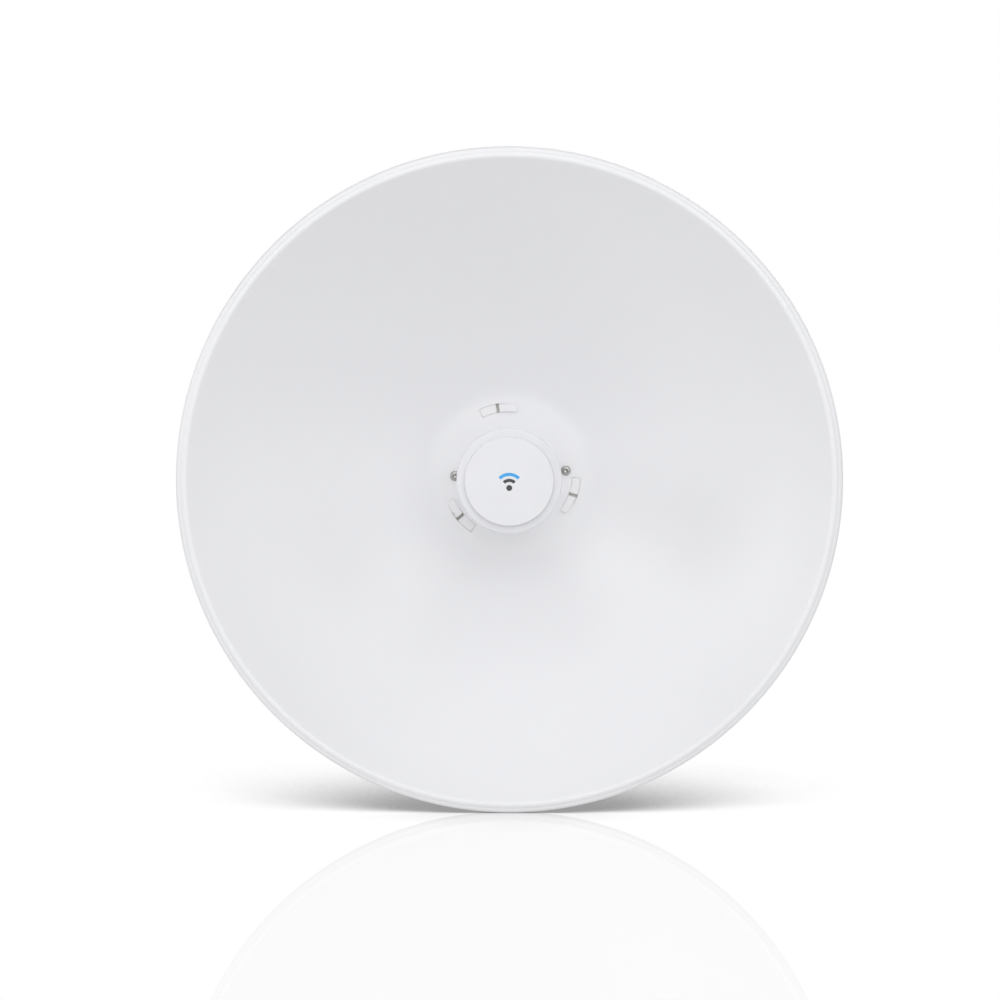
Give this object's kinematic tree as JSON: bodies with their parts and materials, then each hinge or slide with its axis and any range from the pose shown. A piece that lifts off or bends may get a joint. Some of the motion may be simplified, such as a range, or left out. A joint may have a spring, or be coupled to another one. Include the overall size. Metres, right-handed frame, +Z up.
{
  "type": "outdoor wireless bridge",
  "caption": "Round parabolic dish with a radio in its central feed, a twist-lock rear housing and a tilting pole clamp.",
  "frame": {"origin": "on the axis of the pole that the closed jaws hold, midway between the upper and lower jaws", "axes": "+Z up along the pole; -Y forward along the dish's boresight; +X to the right as seen from in front of the dish"},
  "size_m": [0.525, 0.3421, 0.525],
  "materials": {
    "white_powder_coat": "white powder coat over pressed sheet, satin with a fine orange peel",
    "white_housing": "moulded UV-stable plastic, fine matt texture",
    "white_cap": "moulded plastic, smooth satin",
    "white_plate": "moulded glass-filled plastic, satin",
    "galvanised_steel": "hot-dip galvanised sheet steel, soft spangle",
    "plated_fastener": "zinc-plated, satin",
    "stainless": "stainless, lightly polished",
    "insert_brass": "knurled brass",
    "contact_gold": "gold-flashed spring wire",
    "black_rubber": "moulded EPDM, matt",
    "mark_blue": "pad-printed ink",
    "mark_grey": "pad-printed ink",
    "board_laminate": "solder-masked fibreglass laminate",
    "component_black": "moulded component plastic",
    "capacitor_sleeve": "printed shrink sleeve",
    "tinned_steel": "tinned steel, satin",
    "bare_aluminium": "bare aluminium",
    "copper": "tarnish-proofed copper foil",
    "led_die": "LED package",
    "clear_lens": "clear polycarbonate",
    "button_grey": "moulded plastic"
  },
  "bodies": {
    "mount": {"pole_bracket": "galvanised_steel", "carriage_bolts": "plated_fastener", "pivot_bolts": "plated_fastener", "pivot_nuts": "plated_fastener"},
    "clamp": {"pole_clamp": "galvanised_steel", "clamp_washers": "plated_fastener", "clamp_nuts": "plated_fastener"},
    "head": {"dish_reflector": "white_powder_coat", "twist_lock_plate": "white_plate", "rear_cover": "white_housing", "feed_tube": "white_housing", "feed_end_cap": "white_housing", "feed_seal": "black_rubber", "head_shell": "white_housing", "cap_seal": "black_rubber", "front_cap": "white_cap", "cap_mark_outer": "mark_blue", "cap_mark_inner": "mark_grey", "subreflector": "bare_aluminium", "radiator_board": "board_laminate", "driven_element": "copper", "parasitic_disc": "bare_aluminium", "element_post": "white_plate", "main_board": "board_laminate", "ethernet_jack": "tinned_steel", "jack_contacts": "contact_gold", "capacitors": "capacitor_sleeve", "lan_transformer": "component_black", "radio_shield": "tinned_steel", "front_end_shield": "tinned_steel", "heat_spreader": "bare_aluminium", "coax_jumpers": "tinned_steel", "status_leds": "led_die", "led_lenses": "clear_lens", "reset_switch": "component_black", "dish_screws": "stainless", "dish_inserts": "insert_brass", "lock_bolts": "plated_fastener", "lock_nuts": "plated_fastener", "tilt_bracket": "galvanised_steel", "bracket_screws": "plated_fastener", "bracket_inserts": "insert_brass", "latch_spring": "stainless"},
    "cable_door": {"cable_door": "white_housing", "cable_grommet": "black_rubber"},
    "feed_latch": {"feed_latch": "white_housing"},
    "reset_button": {"reset_button": "button_grey"}
  },
  "joints": [
    {"name": "elevation_tilt", "type": "hinge", "parent": "mount", "child": "head", "pos_m": [0, -0.06, -0.012], "axis": [1, 0, 0], "range_deg": [-20, 20]},
    {"name": "clamp_slide", "type": "slide", "parent": "mount", "child": "clamp", "axis": [0, 1, 0], "range_m": [-0.01, 0.03]},
    {"name": "cable_door_slide", "type": "slide", "parent": "head", "child": "cable_door", "axis": [0, 0, -1], "range_m": [0, 0.03]},
    {"name": "feed_latch_press", "type": "slide", "parent": "head", "child": "feed_latch", "axis": [0, 0, -1], "range_m": [0, 0.0024], "stiffness_N_per_m": 1000, "springref_m": -0.003, "deforming": ["latch_spring"]},
    {"name": "reset_press", "type": "slide", "parent": "head", "child": "reset_button", "axis": [0, 0, 1], "range_m": [0, 0.0006], "stiffness_N_per_m": 2000, "springref_m": -0.0005}
  ]
}
